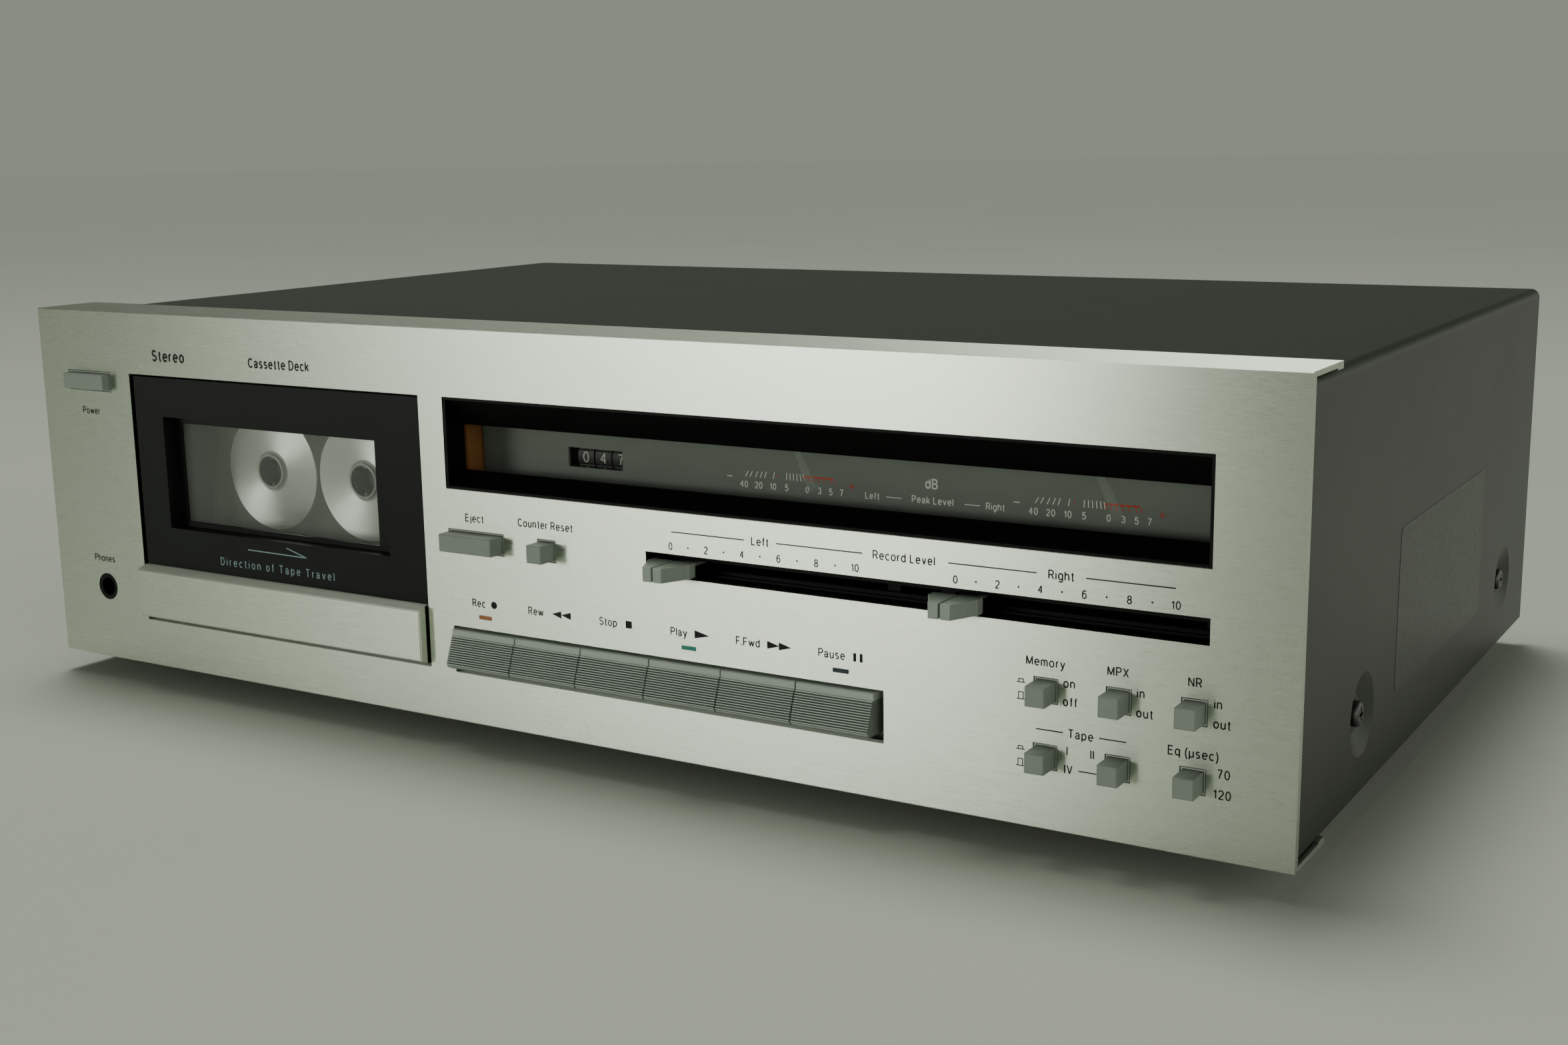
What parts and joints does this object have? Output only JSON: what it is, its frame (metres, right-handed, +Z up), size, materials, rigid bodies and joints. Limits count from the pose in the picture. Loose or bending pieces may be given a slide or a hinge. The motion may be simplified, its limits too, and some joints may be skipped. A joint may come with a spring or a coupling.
{
  "type": "cassette deck",
  "caption": "Full-size hi-fi cassette deck with brushed panel, tilting cassette door, needle meters, tape counter, twin level sliders and piano-style transport keys.",
  "frame": {"origin": "centre of the whole object's footprint, on the surface that the feet stand on", "axes": "+X to the viewer's right along the front panel, +Y from the front panel to the rear, +Z up"},
  "size_m": [0.45, 0.297, 0.131],
  "materials": {
    "brushed_aluminium": "fine horizontal brushing",
    "cover_paint": "fine textured dark charcoal paint",
    "plated_steel": "plated sheet steel",
    "rear_paint": "satin dark paint",
    "deck_paint": "satin grey paint",
    "foot_plastic": "matt black",
    "screw_steel": "blackened pan-head screws",
    "connector_plastic": "black with plated jacks",
    "black_plastic": "matt black moulding",
    "grey_plastic": "mid grey metallic moulding",
    "smoked_pane": "smoked clear acrylic",
    "clear_pane": "clear acrylic",
    "clear_shell": "clear styrene",
    "silver_reel": "metallised silver discs",
    "amber_plastic": "amber light guide",
    "indicator_plastic": "tinted lamp windows",
    "scale_paint": "matt dark grey scale",
    "needle_clear": "clear acrylic blade",
    "number_wheel": "black wheels with white figures",
    "flywheel_steel": "turned steel",
    "spindle_plastic": "black moulding",
    "roller_rubber": "ground rubber",
    "motor_steel": "drawn steel cans",
    "circuit_board": "phenolic board",
    "transformer_iron": "varnished laminations"
  },
  "bodies": {
    "chassis": {"front_panel": "brushed_aluminium", "top_cover": "cover_paint", "base_pan": "plated_steel", "rear_panel": "rear_paint", "feet": "foot_plastic", "case_screws": "screw_steel", "meter_bezel": "black_plastic", "meter_lens": "smoked_pane", "scale_plate": "scale_paint", "amber_light_guide": "amber_plastic", "meter_housing": "black_plastic", "button_bezels": "grey_plastic", "push_switches": "black_plastic", "slide_pots": "black_plastic", "key_frame": "plated_steel", "indicators": "indicator_plastic", "phones_jack": "black_plastic", "main_board": "circuit_board", "power_transformer": "transformer_iron", "rear_connectors": "connector_plastic", "transport_plate": "deck_paint", "transport_motors": "motor_steel", "capstan_belt": "roller_rubber"},
    "door": {"door_panel": "black_plastic", "door_trim_bar": "brushed_aluminium", "door_lens": "clear_pane", "cassette_holder": "rear_paint", "cassette_shell": "clear_shell"},
    "left_needle": {"left_needle": "needle_clear"},
    "right_needle": {"right_needle": "needle_clear"},
    "units_wheel": {"units_wheel": "number_wheel"},
    "tens_wheel": {"tens_wheel": "number_wheel"},
    "hundreds_wheel": {"hundreds_wheel": "number_wheel"},
    "supply_capstan": {"supply_capstan": "flywheel_steel"},
    "takeup_capstan": {"takeup_capstan": "flywheel_steel"},
    "motor_pulley": {"motor_pulley": "spindle_plastic"},
    "supply_spindle": {"supply_spindle": "spindle_plastic"},
    "takeup_spindle": {"takeup_spindle": "spindle_plastic"},
    "head_bridge": {"head_bridge": "plated_steel"},
    "supply_pinch_roller": {"supply_pinch_roller": "roller_rubber"},
    "takeup_pinch_roller": {"takeup_pinch_roller": "roller_rubber"},
    "supply_reel": {"supply_reel": "silver_reel"},
    "takeup_reel": {"takeup_reel": "silver_reel"},
    "power_button": {"power_button": "grey_plastic"},
    "eject_button": {"eject_button": "grey_plastic"},
    "counter_reset_button": {"counter_reset_button": "grey_plastic"},
    "memory_button": {"memory_button": "grey_plastic"},
    "filter_button": {"filter_button": "grey_plastic"},
    "noise_reduction_button": {"noise_reduction_button": "grey_plastic"},
    "tape_button_one": {"tape_button_one": "grey_plastic"},
    "tape_button_two": {"tape_button_two": "grey_plastic"},
    "equaliser_button": {"equaliser_button": "grey_plastic"},
    "record_key": {"record_key": "grey_plastic"},
    "rewind_key": {"rewind_key": "grey_plastic"},
    "stop_key": {"stop_key": "grey_plastic"},
    "play_key": {"play_key": "grey_plastic"},
    "forward_key": {"forward_key": "grey_plastic"},
    "pause_key": {"pause_key": "grey_plastic"},
    "left_slider_knob": {"left_slider_knob": "grey_plastic"},
    "right_slider_knob": {"right_slider_knob": "grey_plastic"}
  },
  "joints": [
    {"name": "door_hinge", "type": "hinge", "parent": "chassis", "child": "door", "pos_m": [-0.1159, -0.13375, 0.022], "axis": [1, 0, 0], "range_deg": [0, 35]},
    {"name": "memory_button_press", "type": "slide", "parent": "chassis", "child": "memory_button", "axis": [0, 1, 0], "range_m": [0, 0.0035], "stiffness_N_per_m": 100, "springref_m": -0.003},
    {"name": "filter_button_press", "type": "slide", "parent": "chassis", "child": "filter_button", "axis": [0, 1, 0], "range_m": [0, 0.0035], "stiffness_N_per_m": 100, "springref_m": -0.003},
    {"name": "noise_reduction_button_press", "type": "slide", "parent": "chassis", "child": "noise_reduction_button", "axis": [0, 1, 0], "range_m": [0, 0.0035], "stiffness_N_per_m": 100, "springref_m": -0.003},
    {"name": "tape_button_one_press", "type": "slide", "parent": "chassis", "child": "tape_button_one", "axis": [0, 1, 0], "range_m": [0, 0.0035], "stiffness_N_per_m": 100, "springref_m": -0.003},
    {"name": "tape_button_two_press", "type": "slide", "parent": "chassis", "child": "tape_button_two", "axis": [0, 1, 0], "range_m": [0, 0.0035], "stiffness_N_per_m": 100, "springref_m": -0.003},
    {"name": "equaliser_button_press", "type": "slide", "parent": "chassis", "child": "equaliser_button", "axis": [0, 1, 0], "range_m": [0, 0.0035], "stiffness_N_per_m": 100, "springref_m": -0.003},
    {"name": "eject_button_press", "type": "slide", "parent": "chassis", "child": "eject_button", "axis": [0, 1, 0], "range_m": [0, 0.0035], "stiffness_N_per_m": 100, "springref_m": -0.003},
    {"name": "counter_reset_button_press", "type": "slide", "parent": "chassis", "child": "counter_reset_button", "axis": [0, 1, 0], "range_m": [0, 0.0035], "stiffness_N_per_m": 100, "springref_m": -0.003},
    {"name": "power_button_press", "type": "slide", "parent": "chassis", "child": "power_button", "axis": [0, 1, 0], "range_m": [0, 0.0025], "stiffness_N_per_m": 100, "springref_m": -0.003},
    {"name": "record_key_press", "type": "hinge", "parent": "chassis", "child": "record_key", "pos_m": [-0.0278, -0.12975, 0.0455], "axis": [1, 0, 0], "range_deg": [0, 5.5], "stiffness_Nm_per_rad": 0.05, "springref_deg": -8.59},
    {"name": "rewind_key_press", "type": "hinge", "parent": "chassis", "child": "rewind_key", "pos_m": [-0.0029, -0.12975, 0.0455], "axis": [1, 0, 0], "range_deg": [0, 5.5], "stiffness_Nm_per_rad": 0.05, "springref_deg": -8.59},
    {"name": "stop_key_press", "type": "hinge", "parent": "chassis", "child": "stop_key", "pos_m": [0.022, -0.12975, 0.0455], "axis": [1, 0, 0], "range_deg": [0, 5.5], "stiffness_Nm_per_rad": 0.05, "springref_deg": -8.59},
    {"name": "play_key_press", "type": "hinge", "parent": "chassis", "child": "play_key", "pos_m": [0.0469, -0.12975, 0.0455], "axis": [1, 0, 0], "range_deg": [0, 5.5], "stiffness_Nm_per_rad": 0.05, "springref_deg": -8.59},
    {"name": "forward_key_press", "type": "hinge", "parent": "chassis", "child": "forward_key", "pos_m": [0.0718, -0.12975, 0.0455], "axis": [1, 0, 0], "range_deg": [0, 5.5], "stiffness_Nm_per_rad": 0.05, "springref_deg": -8.59},
    {"name": "pause_key_press", "type": "hinge", "parent": "chassis", "child": "pause_key", "pos_m": [0.0967, -0.12975, 0.0455], "axis": [1, 0, 0], "range_deg": [0, 5.5], "stiffness_Nm_per_rad": 0.05, "springref_deg": -8.59},
    {"name": "left_slider_knob_slide", "type": "slide", "parent": "chassis", "child": "left_slider_knob", "axis": [1, 0, 0], "range_m": [0, 0.06]},
    {"name": "right_slider_knob_slide", "type": "slide", "parent": "chassis", "child": "right_slider_knob", "axis": [1, 0, 0], "range_m": [0, 0.06]},
    {"name": "left_needle_swing", "type": "hinge", "parent": "chassis", "child": "left_needle", "pos_m": [0.0713, -0.12475, 0.1105], "axis": [0, -1, 0], "range_deg": [-68, 16], "stiffness_Nm_per_rad": 0.0001},
    {"name": "right_needle_swing", "type": "hinge", "parent": "chassis", "child": "right_needle", "pos_m": [0.162, -0.12475, 0.1105], "axis": [0, -1, 0], "range_deg": [-68, 16], "stiffness_Nm_per_rad": 0.0001},
    {"name": "head_bridge_lift", "type": "slide", "parent": "chassis", "child": "head_bridge", "axis": [0, 0, 1], "range_m": [0, 0.0091], "stiffness_N_per_m": 100, "springref_m": -0.003},
    {"name": "takeup_capstan_spin", "type": "hinge", "parent": "chassis", "child": "takeup_capstan", "pos_m": [-0.0949, -0.08875, 0.051], "axis": [0, 1, 0], "continuous": true},
    {"name": "supply_capstan_spin", "type": "hinge", "parent": "chassis", "child": "supply_capstan", "pos_m": [-0.1369, -0.08875, 0.051], "axis": [0, 1, 0], "continuous": true},
    {"name": "motor_pulley_spin", "type": "hinge", "parent": "chassis", "child": "motor_pulley", "pos_m": [-0.1159, -0.08875, 0.0955], "axis": [0, 1, 0], "continuous": true},
    {"name": "takeup_reel_spin", "type": "hinge", "parent": "door", "child": "takeup_reel", "pos_m": [-0.09465, -0.11475, 0.0764], "axis": [0, 1, 0], "continuous": true},
    {"name": "supply_reel_spin", "type": "hinge", "parent": "door", "child": "supply_reel", "pos_m": [-0.13715, -0.11475, 0.0764], "axis": [0, 1, 0], "continuous": true},
    {"name": "takeup_spindle_spin", "type": "hinge", "parent": "chassis", "child": "takeup_spindle", "pos_m": [-0.09465, -0.10575, 0.0764], "axis": [0, 1, 0], "continuous": true},
    {"name": "supply_spindle_spin", "type": "hinge", "parent": "chassis", "child": "supply_spindle", "pos_m": [-0.13715, -0.10575, 0.0764], "axis": [0, 1, 0], "continuous": true},
    {"name": "takeup_pinch_roller_spin", "type": "hinge", "parent": "head_bridge", "child": "takeup_pinch_roller", "pos_m": [-0.0949, -0.11275, 0.0345], "axis": [0, 1, 0], "continuous": true},
    {"name": "supply_pinch_roller_spin", "type": "hinge", "parent": "head_bridge", "child": "supply_pinch_roller", "pos_m": [-0.1369, -0.11275, 0.0345], "axis": [0, 1, 0], "continuous": true},
    {"name": "hundreds_wheel_spin", "type": "hinge", "parent": "chassis", "child": "hundreds_wheel", "pos_m": [-0.0025, -0.11015, 0.0912], "axis": [1, 0, 0], "continuous": true},
    {"name": "tens_wheel_spin", "type": "hinge", "parent": "chassis", "child": "tens_wheel", "pos_m": [0.004, -0.11015, 0.0912], "axis": [1, 0, 0], "continuous": true},
    {"name": "units_wheel_spin", "type": "hinge", "parent": "chassis", "child": "units_wheel", "pos_m": [0.0105, -0.11015, 0.0912], "axis": [1, 0, 0], "continuous": true}
  ],
  "couplings": [
    {"joint": "supply_capstan_spin", "follows": "takeup_capstan_spin", "ratio": 1.1026},
    {"joint": "motor_pulley_spin", "follows": "takeup_capstan_spin", "ratio": 4.3},
    {"joint": "takeup_spindle_spin", "follows": "takeup_reel_spin", "ratio": 1},
    {"joint": "units_wheel_spin", "follows": "takeup_reel_spin", "ratio": 1},
    {"joint": "tens_wheel_spin", "follows": "takeup_reel_spin", "ratio": 0.1},
    {"joint": "hundreds_wheel_spin", "follows": "takeup_reel_spin", "ratio": 0.01},
    {"joint": "supply_spindle_spin", "follows": "supply_reel_spin", "ratio": 1}
  ]
}
